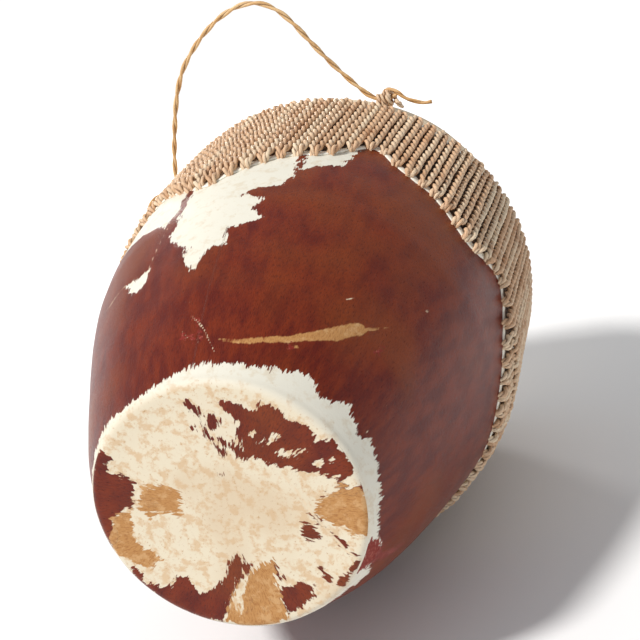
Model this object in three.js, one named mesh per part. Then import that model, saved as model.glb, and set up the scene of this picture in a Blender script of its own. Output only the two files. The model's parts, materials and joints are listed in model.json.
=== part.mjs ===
// Two-skin barrel drum, lying on its side: hair-on cowhide pulled up over the small end,
// a playing skin over the wide end, and twisted rawhide thong laced between the two skins.
// Millimetres, +Z up. The drum's own axis lies along Y: the small end faces -Y and the
// playing head faces +Y. The origin is on the ground, under the middle of the drum.

import * as THREE from 'three';

// Overall size
const LENGTH = 370; // from the base hide's face to the playing head's face
const MAX_RADIUS = 147; // to the outside of the lacing, which the drum lies on
const CLEARANCE = 0.4; // between any two neighbouring pieces

// Thicknesses
const BASE_HIDE = 2;
const HEAD_SKIN = 1.8;
const HEM_STRIP = 1.2;
const HEM_WIDTH = 7;
const THONG = 4.5;
const CORD = 4.2;
const WALL_AT_BASE = 9;
const WALL_AT_HEAD = 18;

// Outline of the carved wooden shell: distance along the axis from the base face, and radius
const SHELL_STATIONS = [0, 22, 67, 130, 166, 196, 235, 315, 345, 370];
const SHELL_RADII = [77.6, 88.3, 106.4, 125, 132.9, 136.8, 138.2, 138.1, 136.2, 131.2];
const BASE_ROUNDING = 5; // where the hide turns from the base face up the side
const HEAD_ROUNDING = 11; // where the skin turns from the playing face down the side

// Cut edge of the base hide: angle round the drum in degrees, from the top towards +X, and
// distance along the axis. The hide comes from a roughly squared skin, so its edge wanders.
const HIDE_EDGE_ANGLES = [
  -180, -150, -115, -80, -55, -36, -24, -12, -2, 8, 18, 30, 38, 50, 64, 80, 90, 102, 118, 150, 180,
];
const HIDE_EDGE = [
  186, 201, 196, 222, 238, 238, 212, 192, 206, 220, 226, 254, 236, 228, 210, 223, 198, 183, 174, 178, 186,
];
const NOMINAL_HIDE_EDGE = 180;
const HIDE_FLEX_START = 90; // below this the hide is the same all the way round

// Skirt of the playing head
const HEAD_EDGE = 322;
const HEAD_EDGE_WAVE = 3;
const HEAD_EDGE_WAVES = 14;
const SKIRT_EVEN_FROM = 345; // from here to the rim the skirt is the same all the way round
const HEAD_STRIP_ABOVE_EDGE = 9;

// Lacing: one zig-zag thong per length, all strands leaning the same way
const LENGTHS = 12;
const STRANDS_PER_LENGTH = 14;
const BELLY_START = 196; // from here to its top the lacing runs straight, at the full radius
const TIP_BELOW_EDGE = 11; // the lower loops pass over the hem strip onto the hide
const STRIP_BELOW_EDGE = 5.5;
const LACING_TOP = 333;
const LEAN = THREE.MathUtils.degToRad(0.02); // turn round the drum per millimetre of run
const THONG_SIDES = 6;

// Carrying loop: its two feet, and the route of the cord in the plane of the feet
const FOOT_STATION = 347;
const LEFT_FOOT_ANGLE = THREE.MathUtils.degToRad(-55);
const RIGHT_FOOT_ANGLE = THREE.MathUtils.degToRad(25.5);
const LEFT_KNOT_PAST_FOOT = 11;
const KNOT_RING = 4.7;
const KNOT_THONG = 4;
const CORD_STEPS = 52;
const CORD_SIDES = 8;
const CORD_ROUTE = [
  [-20, 0], [-12, 0], [-5, 0.4], [1.5, 4.5], [5, 12], [9, 20], [17, 34.5], [25.5, 48], [34, 61],
  [44.5, 74.5], [56, 86], [71, 95.8], [89, 104], [108, 108.6], [124, 108], [135.5, 103], [144, 93.5],
  [150, 80.5], [155, 64], [160, 48], [166, 31.5], [171.5, 18.5], [177.5, 7], [183, 1.2], [190, 0], [197, 0],
];

const ROUND_STEPS = 60;
const SHELL_STEPS = 12;
const BORE_STEPS = 5;
const HIDE_STEPS = 15;
const SKIRT_STEPS = 3;
const RING_STEPS = 14;
const RING_SIDES = 6;
const FULL_TURN = 2 * Math.PI;

const woodFinish = () => new THREE.MeshStandardMaterial({ color: 0xa9794a, roughness: 0.75, metalness: 0 });
const hideFinish = () => new THREE.MeshStandardMaterial({ color: 0x6e2c12, roughness: 0.45, metalness: 0 });
const skinFinish = () => new THREE.MeshStandardMaterial({ color: 0xe9dcc4, roughness: 0.6, metalness: 0 });
const thongFinish = () => new THREE.MeshStandardMaterial({ color: 0xcfae84, roughness: 0.65, metalness: 0 });
const cordFinish = () => new THREE.MeshStandardMaterial({ color: 0xc99a5b, roughness: 0.6, metalness: 0 });

const shellOutline = new THREE.CubicInterpolant(SHELL_STATIONS, SHELL_RADII, 1);
const hideEdgeOutline = new THREE.CubicInterpolant(HIDE_EDGE_ANGLES, HIDE_EDGE, 1);

function shellRadius(station) {
  return shellOutline.evaluate(THREE.MathUtils.clamp(station, 0, LENGTH))[0];
}

// The shell's two ends, and the [radius, station] where each end face meets its cut-back corner
const SHELL_START = BASE_HIDE + CLEARANCE;
const SHELL_END = LENGTH - HEAD_SKIN - CLEARANCE;
const BASE_LIP = [shellRadius(SHELL_START) - BASE_ROUNDING, SHELL_START];
const HEAD_LIP = [shellRadius(SHELL_END) - HEAD_ROUNDING, SHELL_END];

function hideRadius(station) {
  return shellRadius(station) + CLEARANCE + BASE_HIDE;
}

function headRadius(station) {
  return shellRadius(station) + CLEARANCE + HEAD_SKIN;
}

// Distance along the axis of the hide's cut edge, at an angle in radians
function hideEdge(angle) {
  const degrees = THREE.MathUtils.radToDeg(angle);
  const wrapped = THREE.MathUtils.euclideanModulo(degrees + 180, 360) - 180;
  return hideEdgeOutline.evaluate(wrapped)[0];
}

function headEdge(angle) {
  return HEAD_EDGE + HEAD_EDGE_WAVE * Math.sin(HEAD_EDGE_WAVES * angle);
}

// A point on the drum: angle round the axis, distance along it, and radius from it
function onDrum(angle, station, radius) {
  return new THREE.Vector3(radius * Math.sin(angle), station - LENGTH / 2, radius * Math.cos(angle));
}

// Turns an outline of [radius, station] points about the drum's axis. reshape, if given,
// moves each point along the axis, and its radius follows the shell's outline.
function turned(outline, reshape) {
  const profile = outline.map(([radius, station]) => new THREE.Vector2(radius, station));
  const geometry = new THREE.LatheGeometry(profile, ROUND_STEPS);
  const position = geometry.attributes.position;
  for (let i = 0; i < position.count; i += 1) {
    const radius = Math.hypot(position.getX(i), position.getZ(i));
    const station = position.getY(i);
    const angle = Math.atan2(position.getX(i), position.getZ(i));
    const movedStation = reshape ? reshape(station, angle) : station;
    const movedRadius = radius + shellRadius(movedStation) - shellRadius(station);
    const point = onDrum(angle, movedStation, radius > 0 ? movedRadius : 0);
    position.setXYZ(i, point.x, point.y, point.z);
  }
  geometry.computeVertexNormals();
  return geometry;
}

function named(name, geometry, material) {
  const mesh = new THREE.Mesh(geometry, material);
  mesh.name = name;
  return mesh;
}

// Stations evenly spaced from one distance to another
function stations(from, to, count) {
  return Array.from({ length: count + 1 }, (_, i) => from + ((to - from) * i) / count);
}

// Quarter-round corner of [radius, station] points about a centre, between two angles
function corner(centreRadius, centreStation, size, fromAngle, toAngle) {
  return [0, 0.5, 1].map((part) => {
    const angle = fromAngle + (toAngle - fromAngle) * part;
    return [centreRadius + size * Math.cos(angle), centreStation + size * Math.sin(angle)];
  });
}

// Hollowed log, open at both ends, with its outer corners cut back under the skins
function woodShell() {
  const wall = (station) => THREE.MathUtils.mapLinear(station, 0, LENGTH, WALL_AT_BASE, WALL_AT_HEAD);
  const outer = stations(SHELL_START + BASE_ROUNDING, SHELL_END - HEAD_ROUNDING, SHELL_STEPS);
  const bore = stations(SHELL_START, SHELL_END, BORE_STEPS).map((s) => [shellRadius(s) - wall(s), s]);
  const side = outer.map((s) => [shellRadius(s), s]);
  const outline = [BASE_LIP, ...side, HEAD_LIP, ...bore.reverse(), BASE_LIP];
  return named('wood_shell', turned(outline), woodFinish());
}

// Hair-on hide: the base face and the side up to the cut edge
function baseHide() {
  const reshape = (station, angle) => {
    if (station <= HIDE_FLEX_START) return station;
    return THREE.MathUtils.mapLinear(
      station, HIDE_FLEX_START, NOMINAL_HIDE_EDGE, HIDE_FLEX_START, hideEdge(angle),
    );
  };
  const side = stations(SHELL_START + BASE_ROUNDING, NOMINAL_HIDE_EDGE, HIDE_STEPS);
  const rimRadius = hideRadius(BASE_ROUNDING) - BASE_ROUNDING;
  const rim = corner(rimRadius, BASE_ROUNDING, BASE_ROUNDING, -Math.PI / 2, 0);
  const outer = side.map((s) => [hideRadius(s), s]);
  const inner = side.map((s) => [hideRadius(s) - BASE_HIDE, s]);
  const outline = [[0, 0], ...rim, ...outer, ...inner.reverse(), [BASE_LIP[0], BASE_HIDE], [0, BASE_HIDE]];
  return named('base_hide', turned(outline, reshape), hideFinish());
}

// Playing skin: the flat head and its skirt down to the laced hem
function playingHead() {
  const reshape = (station, angle) => {
    const fromEven = (SKIRT_EVEN_FROM - station) / (SKIRT_EVEN_FROM - HEAD_EDGE);
    const loose = THREE.MathUtils.clamp(fromEven, 0, 1);
    return station + loose * (headEdge(angle) - HEAD_EDGE);
  };
  const side = stations(HEAD_EDGE, SHELL_END - HEAD_ROUNDING, SKIRT_STEPS);
  const rimRadius = headRadius(LENGTH - HEAD_ROUNDING) - HEAD_ROUNDING;
  const rim = corner(rimRadius, LENGTH - HEAD_ROUNDING, HEAD_ROUNDING, 0, Math.PI / 2);
  const inner = side.map((s) => [headRadius(s) - HEAD_SKIN, s]);
  const outer = side.slice(0, -1).map((s) => [headRadius(s), s]);
  const innerFace = LENGTH - HEAD_SKIN;
  const outline = [[0, innerFace], [HEAD_LIP[0], innerFace], ...inner.reverse(), ...outer, ...rim, [0, LENGTH]];
  return named('playing_head', turned(outline, reshape), skinFinish());
}

// Flat strip of rawhide round a skin's edge, which the lacing pulls on
function hemStrip(name, skinRadius, middle) {
  const foot = HEM_WIDTH / 2;
  const reshape = (station, angle) => station - NOMINAL_HIDE_EDGE + middle(angle);
  const point = (along, lift) => {
    const station = NOMINAL_HIDE_EDGE + along;
    return [skinRadius(station) + CLEARANCE + lift, station];
  };
  const inner = [point(foot, 0), point(0, 0), point(-foot, 0)];
  const outline = [...inner, point(-foot, HEM_STRIP), point(foot, HEM_STRIP), inner[0]];
  return named(name, turned(outline, reshape), skinFinish());
}

// A path through given points, whose sections keep one face turned away from the drum's axis
class ThongPath extends THREE.Curve {
  constructor(points) {
    super();
    this.points = points;
  }

  getPoint(part, target = new THREE.Vector3()) {
    const place = part * (this.points.length - 1);
    const index = Math.min(Math.floor(place), this.points.length - 2);
    return target.lerpVectors(this.points[index], this.points[index + 1], place - index);
  }

  getSpacedPoints() {
    return this.points;
  }

  computeFrenetFrames() {
    const last = this.points.length - 1;
    const tangents = this.points.map((point, i) => {
      const before = this.points[Math.max(i - 1, 0)];
      const after = this.points[Math.min(i + 1, last)];
      const incoming = point.clone().sub(before).normalize();
      const outgoing = after.clone().sub(point).normalize();
      return incoming.add(outgoing).normalize();
    });
    const normals = this.points.map((point, i) => {
      const outward = new THREE.Vector3(point.x, 0, point.z);
      return outward.addScaledVector(tangents[i], -outward.dot(tangents[i])).normalize();
    });
    const binormals = tangents.map((tangent, i) => tangent.clone().cross(normals[i]));
    return { tangents, normals, binormals };
  }
}

function roundSection(diameter, sides) {
  const shape = new THREE.Shape();
  for (let i = 0; i < sides; i += 1) {
    const angle = (FULL_TURN * (i + 0.5)) / sides;
    const across = (diameter / 2) * Math.cos(angle);
    const along = (diameter / 2) * Math.sin(angle);
    if (i === 0) shape.moveTo(across, along);
    else shape.lineTo(across, along);
  }
  shape.closePath();
  return shape;
}

function tube(path, diameter, sides, steps) {
  return new THREE.ExtrudeGeometry(roundSection(diameter, sides), { steps, extrudePath: path });
}

// Middle of the thong above the skins and their hem strips; it bridges the shell in between
function lacingRadius(station) {
  const settled = hideRadius(station) + 2 * CLEARANCE + HEM_STRIP + THONG / 2;
  const outermost = MAX_RADIUS - (THONG / 2) * Math.cos(Math.PI / THONG_SIDES);
  return station < BELLY_START ? Math.min(settled, outermost) : outermost;
}

// One length of thong, running down and up between the two hems
function lacingLength(number) {
  const pitch = FULL_TURN / (LENGTHS * STRANDS_PER_LENGTH);
  const points = [];
  for (let strand = 0; strand < STRANDS_PER_LENGTH; strand += 1) {
    const angle = pitch * (number * STRANDS_PER_LENGTH + strand + 0.5);
    const loopAngle = angle + (strand % 2 === 0 ? pitch / 2 : -pitch / 2);
    const bottom = hideEdge(loopAngle) - TIP_BELOW_EDGE;
    const run = [bottom, Math.max(bottom + THONG, BELLY_START), LACING_TOP].map((station) => (
      onDrum(angle + LEAN * (station - bottom), station, lacingRadius(station))
    ));
    points.push(...(strand % 2 === 0 ? run.reverse() : run));
  }
  const path = new ThongPath(points);
  const geometry = tube(path, THONG, THONG_SIDES, points.length - 1);
  return named(`lacing_${String(number + 1).padStart(2, '0')}`, geometry, thongFinish());
}

// Feet of the carrying loop, on the line that it swings about
const footRadius = headRadius(FOOT_STATION) + CLEARANCE + KNOT_RING + KNOT_THONG / 2;
const leftFoot = onDrum(LEFT_FOOT_ANGLE, FOOT_STATION, footRadius);
const rightFoot = onDrum(RIGHT_FOOT_ANGLE, FOOT_STATION, footRadius);
const footLine = rightFoot.clone().sub(leftFoot).normalize();
const loopUp = new THREE.Vector3(-footLine.z, 0, footLine.x);

function handleCord() {
  const points = CORD_ROUTE.map(([along, up]) => (
    leftFoot.clone().addScaledVector(footLine, along).addScaledVector(loopUp, up)
  ));
  const path = new THREE.CatmullRomCurve3(points);
  return named('handle_cord', tube(path, CORD, CORD_SIDES, CORD_STEPS), cordFinish());
}

// Ring of thong that ties one foot of the carrying loop down to the head's skirt
function handleKnot(name, foot, along) {
  const geometry = new THREE.TorusGeometry(KNOT_RING, KNOT_THONG / 2, RING_SIDES, RING_STEPS);
  const mesh = named(name, geometry, thongFinish());
  mesh.position.copy(foot).addScaledVector(footLine, along);
  mesh.quaternion.setFromUnitVectors(new THREE.Vector3(0, 0, 1), footLine);
  return mesh;
}

const drum = new THREE.Group();
drum.position.z = MAX_RADIUS;
drum.add(woodShell());
drum.add(baseHide());
drum.add(playingHead());
drum.add(hemStrip('hide_hem_strip', hideRadius, (angle) => hideEdge(angle) - STRIP_BELOW_EDGE));
drum.add(hemStrip('head_hem_strip', headRadius, () => HEAD_EDGE + HEAD_STRIP_ABOVE_EDGE));
for (let number = 0; number < LENGTHS; number += 1) drum.add(lacingLength(number));
drum.add(handleCord());
drum.add(handleKnot('handle_knot_left', leftFoot, -LEFT_KNOT_PAST_FOOT));
drum.add(handleKnot('handle_knot_right', rightFoot, 0));

const part = new THREE.Group();
part.add(drum);

export default part;
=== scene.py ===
"""Looks of a laced barrel drum that lies on its side: hair-on hide, playing skin, twisted thong.

Metres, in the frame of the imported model: +Z up, the drum's axis along Y, its small end facing -Y.
A place on the drum is an angle round its axis, 0 at the top and positive towards +X, and a
station, the distance along the axis from the base face.
"""

import json
import math

import bpy
import numpy as np
from mathutils import Euler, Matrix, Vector


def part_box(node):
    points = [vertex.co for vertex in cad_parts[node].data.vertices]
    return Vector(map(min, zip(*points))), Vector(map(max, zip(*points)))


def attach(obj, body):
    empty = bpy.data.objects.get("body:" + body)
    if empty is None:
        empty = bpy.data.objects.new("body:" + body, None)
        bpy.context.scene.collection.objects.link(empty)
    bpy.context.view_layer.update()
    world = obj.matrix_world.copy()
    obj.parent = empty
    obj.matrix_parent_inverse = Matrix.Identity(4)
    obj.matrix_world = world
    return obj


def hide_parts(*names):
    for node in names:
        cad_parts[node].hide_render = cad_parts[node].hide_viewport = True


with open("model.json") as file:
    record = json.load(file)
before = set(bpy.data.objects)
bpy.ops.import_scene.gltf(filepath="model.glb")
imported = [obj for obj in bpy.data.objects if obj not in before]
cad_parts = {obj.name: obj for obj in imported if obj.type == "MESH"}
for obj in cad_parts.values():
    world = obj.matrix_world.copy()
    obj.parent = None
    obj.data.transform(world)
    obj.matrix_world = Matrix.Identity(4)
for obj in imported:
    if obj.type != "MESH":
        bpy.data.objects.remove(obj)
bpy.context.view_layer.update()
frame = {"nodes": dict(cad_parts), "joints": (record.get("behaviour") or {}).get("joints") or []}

MM = 0.001
FULL_TURN = 2 * math.pi

# Driving sizes, from the frame
shell_low, shell_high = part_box("wood_shell")
BASE_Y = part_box("base_hide")[0].y
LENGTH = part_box("playing_head")[1].y - BASE_Y
AXIS_Z = (shell_low.z + shell_high.z) / 2
MAX_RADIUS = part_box("lacing_04")[1].x  # the fourth length of lacing passes the drum's +X side
BASE_ROUNDING = 5 * MM
HIDE_THICKNESS = 2 * MM
SKIN_GAP = 0.4 * MM  # between the shell and the skins
LEFT_SWELL, LEFT_SWELL_ANGLE, LEFT_SWELL_WIDTH = 3.6 * MM, -66, 32  # how the drum is out of round
RIGHT_SWELL, RIGHT_SWELL_ANGLE, RIGHT_SWELL_WIDTH = 1.6 * MM, 66, 30

# Lacing
LENGTHS = 12
STRANDS_PER_LENGTH = 14
STRANDS = LENGTHS * STRANDS_PER_LENGTH
PITCH = FULL_TURN / STRANDS
THONG = 4.9 * MM
THONG_TURN = 17 * MM  # length of one full twist
LEAN = math.radians(0.02) / MM
TIP_BELOW_EDGE = 11 * MM
LACING_TOP = 333 * MM
BELLY_START = 196 * MM
STRIP_BELOW_HIDE_EDGE = 5.5 * MM
STRIP_ABOVE_HEAD_EDGE = 9 * MM
STRIP_HALF_WIDTH = 3.5 * MM

# Carrying loop, as the frame has it: its feet, and the cord's route in the plane of its feet
joint = frame["joints"][0]
FOOT_AXIS = Vector(joint["axis"])
LOOP_UP = Vector((-FOOT_AXIS.z, 0, FOOT_AXIS.x))
FOOT_SPAN = 187.65 * MM
LEFT_FOOT = Vector(joint["pos_m"]) - FOOT_AXIS * FOOT_SPAN / 2
LEFT_KNOT = -11 * MM  # along the line from foot to foot
RIGHT_KNOT = FOOT_SPAN
KNOT_RING = 4.7 * MM
KNOT_THONG = 4.2 * MM
KNOT_PITCH = 4.1 * MM
TIE_THONG = 3.2 * MM
CORD = 4.2 * MM
CORD_TURN = 33 * MM
CORD_ROUTE_MM = [
    (-20, 0), (-12, 0), (-5, 0.4), (1.5, 4.5), (5, 12), (9, 20), (17, 34.5), (25.5, 48), (34, 61),
    (44.5, 74.5), (56, 86), (71, 95.8), (89, 104), (108, 108.6), (124, 108), (135.5, 103), (144, 93.5),
    (150, 80.5), (155, 64), (160, 48), (166, 31.5), (171.5, 18.5), (177.5, 7), (183, 1.2), (190, 0), (197, 0),
]


# ---------------------------------------------------------------- small helpers

def smooth_curve(xs, ys):
    """A smooth curve through the points, as a function of x that takes arrays."""
    xs, ys = np.asarray(xs, float), np.asarray(ys, float)
    slopes = np.gradient(ys, xs)

    def curve(x):
        x = np.clip(x, xs[0], xs[-1])
        i = np.clip(np.searchsorted(xs, x, side="right") - 1, 0, len(xs) - 2)
        h = xs[i + 1] - xs[i]
        s = (x - xs[i]) / h
        rise = ys[i] * (1 + 2 * s) * (1 - s) ** 2 + ys[i + 1] * s * s * (3 - 2 * s)
        return rise + h * slopes[i] * s * (1 - s) ** 2 + h * slopes[i + 1] * s * s * (s - 1)

    return curve


def smooth_step(low, high, x):
    s = np.clip((x - low) / (high - low), 0, 1)
    return s * s * (3 - 2 * s)


def wave_noise(x, seed, waves=5, first=1.0):
    """Smooth noise of about -1 to 1, as a sum of sines of growing frequency."""
    rng = np.random.default_rng(seed)
    total = np.zeros_like(np.asarray(x, float))
    for k in range(waves):
        rate = first * 1.7 ** k * rng.uniform(0.85, 1.15)
        total = total + np.sin(rate * x + rng.uniform(0, FULL_TURN)) / 1.35 ** k
    return total / 2.6


def on_drum(angle, station, radius):
    """Points in the frame, as an array of shape (..., 3)."""
    angle, station, radius = np.broadcast_arrays(angle, station, radius)
    return np.stack([radius * np.sin(angle), BASE_Y + station, AXIS_Z + radius * np.cos(angle)], -1)


def add_mesh(name, points, faces, material, smooth=True):
    mesh = bpy.data.meshes.new(name)
    mesh.from_pydata(np.asarray(points).tolist(), [], faces)
    mesh.validate()
    mesh.update()
    if smooth:
        mesh.shade_smooth()
    mesh.materials.append(material)
    piece = bpy.data.objects.new(name, mesh)
    bpy.context.scene.collection.objects.link(piece)
    return piece


def set_attribute(piece, name, values):
    values = np.asarray(values, np.float32)
    kind = "FLOAT_VECTOR" if values.ndim == 2 else "FLOAT"
    attribute = piece.data.attributes.new(name, kind, "POINT")
    attribute.data.foreach_set("vector" if values.ndim == 2 else "value", values.ravel())


def finish_piece(piece, node, body="root"):
    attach(piece, body)
    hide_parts(node)


def grid_faces(rows, columns, closed_rows=False, closed_columns=False, start=0):
    """Faces of a grid of points, row by row."""
    row_steps = np.arange(rows - (not closed_rows))
    column_steps = np.arange(columns - (not closed_columns))
    i, j = np.meshgrid(row_steps, column_steps, indexing="ij")
    i2, j2 = (i + 1) % rows, (j + 1) % columns
    corners = [i * columns + j, i * columns + j2, i2 * columns + j2, i2 * columns + j]
    return (np.stack(corners, -1).reshape(-1, 4) + start).tolist()


# ---------------------------------------------------------------- outlines, read from the frame

def shell_outline():
    """Radius of the wooden shell against station, read down onto the top of the shell."""
    shell = frame["nodes"]["wood_shell"]
    stations = np.linspace(8 * MM, LENGTH - 14 * MM, 32)
    radii = []
    for station in stations:
        place = shell.ray_cast(Vector((0, BASE_Y + station, 1)), Vector((0, 0, -1)))[1]
        radii.append(place.z - AXIS_Z)
    first = radii[0] - stations[0] * (radii[1] - radii[0]) / (stations[1] - stations[0])
    end_slope = (radii[-1] - radii[-2]) / (stations[-1] - stations[-2])
    last = radii[-1] + 1.4 * end_slope * (LENGTH - stations[-1])
    return smooth_curve([0, *stations, LENGTH], [first, *radii, last])


def hide_edge_outline():
    """Station of the hide's cut edge against angle, from the hide's own vertices."""
    points = np.array([v.co for v in frame["nodes"]["base_hide"].data.vertices])
    angles = np.arctan2(points[:, 0], points[:, 2] - AXIS_Z)
    sectors = np.round(angles / FULL_TURN * 60).astype(int) % 60
    edge = np.array([points[sectors == s, 1].max() - BASE_Y for s in range(60)])
    wrapped = np.concatenate([edge, edge, edge])
    curve = smooth_curve(np.arange(-60, 120) * FULL_TURN / 60, wrapped)
    return lambda angle: curve(np.mod(angle, FULL_TURN))


shell_radius = shell_outline()
hide_edge = hide_edge_outline()


def carving(angle, station):
    """The shell is carved by hand, so it is not quite round: low facets along it."""
    facets = 0.55 * np.cos(9 * angle + 0.8) + 0.35 * np.cos(14 * angle + 2.1)
    drift = 0.3 * np.sin(3 * angle + 20 * station) + 0.2 * np.cos(5 * angle - 31 * station)
    return (facets + drift) * MM


def out_of_round(angle, station):
    """How far the hide and the lacing swell out beyond the round shell, on both sides of the belly."""
    degrees = np.degrees((np.asarray(angle) + math.pi) % FULL_TURN - math.pi)
    left = LEFT_SWELL * np.exp(-((degrees - LEFT_SWELL_ANGLE) / LEFT_SWELL_WIDTH) ** 2)
    right = RIGHT_SWELL * np.exp(-((degrees - RIGHT_SWELL_ANGLE) / RIGHT_SWELL_WIDTH) ** 2)
    belly = smooth_step(60 * MM, 160 * MM, station) * smooth_step(340 * MM, 290 * MM, station)
    return (left + right) * belly


def hide_radius(angle, station):
    body = shell_radius(station) + SKIN_GAP + HIDE_THICKNESS + out_of_round(angle, station)
    return body + 0.8 * carving(angle, station) * smooth_step(10 * MM, 60 * MM, station)


# ---------------------------------------------------------------- camera

CAMERA_AIM = Vector((0.0165, 0.0153, 0.171))
CAMERA_DISTANCE = 0.957
CAMERA_AZIMUTH = math.radians(17.95)
CAMERA_ELEVATION = math.radians(21.7)
CAMERA_ROLL = math.radians(-14.5)
CAMERA_LENS_MM = 78.75


def make_camera():
    data = bpy.data.cameras.new("camera")
    data.lens = CAMERA_LENS_MM
    data.sensor_width = 36
    camera = bpy.data.objects.new("camera", data)
    turn = (
        Euler((0, 0, CAMERA_AZIMUTH)).to_matrix()
        @ Euler((math.pi / 2 - CAMERA_ELEVATION, 0, 0)).to_matrix()
        @ Euler((0, 0, CAMERA_ROLL)).to_matrix()
    )
    backwards = turn @ Vector((0, 0, 1))
    camera.matrix_world = turn.to_4x4()
    camera.location = CAMERA_AIM + backwards * CAMERA_DISTANCE
    bpy.context.scene.collection.objects.link(camera)
    bpy.context.scene.camera = camera


# ---------------------------------------------------------------- material building

class Shader:
    """A material's node tree, built from short calls that each return an output socket."""

    def __init__(self, name):
        self.material = bpy.data.materials.new(name)
        self.material.use_nodes = True
        self.tree = self.material.node_tree
        self.bsdf = self.tree.nodes["Principled BSDF"]

    def node(self, kind, **inputs):
        node = self.tree.nodes.new(kind)
        for key, value in inputs.items():
            self.feed(node.inputs[key.replace("_", " ")], value)
        return node

    def feed(self, socket, value):
        if isinstance(value, bpy.types.NodeSocket):
            self.tree.links.new(value, socket)
        elif socket.type == "RGBA" and len(value) == 3:
            socket.default_value = (*value, 1)
        else:
            socket.default_value = value

    def attribute(self, name, output="Fac"):
        node = self.node("ShaderNodeAttribute")
        node.attribute_name = name
        return node.outputs[output]

    def position(self):
        return self.node("ShaderNodeTexCoord").outputs["Object"]

    def scaled(self, vector, scale):
        node = self.node("ShaderNodeVectorMath", Vector=vector)
        node.operation = "MULTIPLY"
        node.inputs[1].default_value = scale
        return node.outputs["Vector"]

    def noise(self, vector, scale=1.0, detail=3.0, roughness=0.55, distortion=0.0):
        """Noise of about 0 to 1, centred on 0.5."""
        node = self.node("ShaderNodeTexNoise", Vector=vector, Scale=scale, Detail=detail,
                         Roughness=roughness, Distortion=distortion)
        return node.outputs["Fac"]

    def math(self, operation, a, b=0.0, c=0.0):
        node = self.node("ShaderNodeMath")
        node.operation = operation
        for socket, value in zip(node.inputs, (a, b, c)):
            self.feed(socket, value)
        return node.outputs["Value"]

    def ramp(self, value, low, high, to_low=0.0, to_high=1.0):
        """Smooth step of value from low..high onto to_low..to_high."""
        node = self.node("ShaderNodeMapRange", Value=value)
        node.interpolation_type = "SMOOTHSTEP"
        for key, number in (("From Min", low), ("From Max", high), ("To Min", to_low), ("To Max", to_high)):
            node.inputs[key].default_value = number
        return node.outputs["Result"]

    def mix(self, a, b, amount, blend="MIX"):
        node = self.node("ShaderNodeMix")
        node.data_type = "RGBA"
        node.blend_type = blend
        node.clamp_factor = True
        self.feed(node.inputs["Factor"], amount)
        self.feed(node.inputs[6], a)
        self.feed(node.inputs[7], b)
        return node.outputs[2]

    def bump(self, height, strength, distance):
        node = self.node("ShaderNodeBump", Height=height)
        node.inputs["Strength"].default_value = strength
        node.inputs["Distance"].default_value = distance
        return node.outputs["Normal"]

    def finish(self, color, roughness, normal, **fixed):
        self.feed(self.bsdf.inputs["Base Color"], color)
        self.feed(self.bsdf.inputs["Roughness"], roughness)
        self.feed(self.bsdf.inputs["Normal"], normal)
        for key, value in fixed.items():
            self.bsdf.inputs[key.replace("_", " ")].default_value = value
        return self.material


# ---------------------------------------------------------------- patches of the hide's colours

def polygon_field(x, y, corners):
    """Distance to a polygon's outline, positive inside."""
    corners = np.asarray(corners, float)
    nearest = np.full(x.shape, 1e9)
    inside = np.zeros(x.shape, bool)
    for (ax, ay), (bx, by) in zip(corners, np.roll(corners, -1, axis=0)):
        along = ((x - ax) * (bx - ax) + (y - ay) * (by - ay)) / ((bx - ax) ** 2 + (by - ay) ** 2)
        along = np.clip(along, 0, 1)
        nearest = np.minimum(nearest, np.hypot(x - ax - along * (bx - ax), y - ay - along * (by - ay)))
        crosses = (ay > y) != (by > y)
        with np.errstate(divide="ignore", invalid="ignore"):
            inside ^= crosses & (x < (bx - ax) * (y - ay) / (by - ay) + ax)
    return np.where(inside, nearest, -nearest)


def stroke_field(x, y, points, width):
    """Distance into a brush stroke through the points; width is one number, or one per point."""
    points = np.asarray(points, float)
    widths = np.broadcast_to(width, len(points))
    field = np.full(x.shape, -1e9)
    for i in range(len(points) - 1):
        (ax, ay), (bx, by) = points[i], points[i + 1]
        along = ((x - ax) * (bx - ax) + (y - ay) * (by - ay)) / ((bx - ax) ** 2 + (by - ay) ** 2)
        along = np.clip(along, 0, 1)
        half = (widths[i] + along * (widths[i + 1] - widths[i])) / 2
        field = np.maximum(field, half - np.hypot(x - ax - along * (bx - ax), y - ay - along * (by - ay)))
    return field


def blob_field(x, y, cx, cy, rx, ry, tilt=0.0):
    turn = math.radians(tilt)
    u = (x - cx) * math.cos(turn) + (y - cy) * math.sin(turn)
    v = -(x - cx) * math.sin(turn) + (y - cy) * math.cos(turn)
    return (1 - np.hypot(u / rx, v / ry)) * min(rx, ry)


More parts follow.
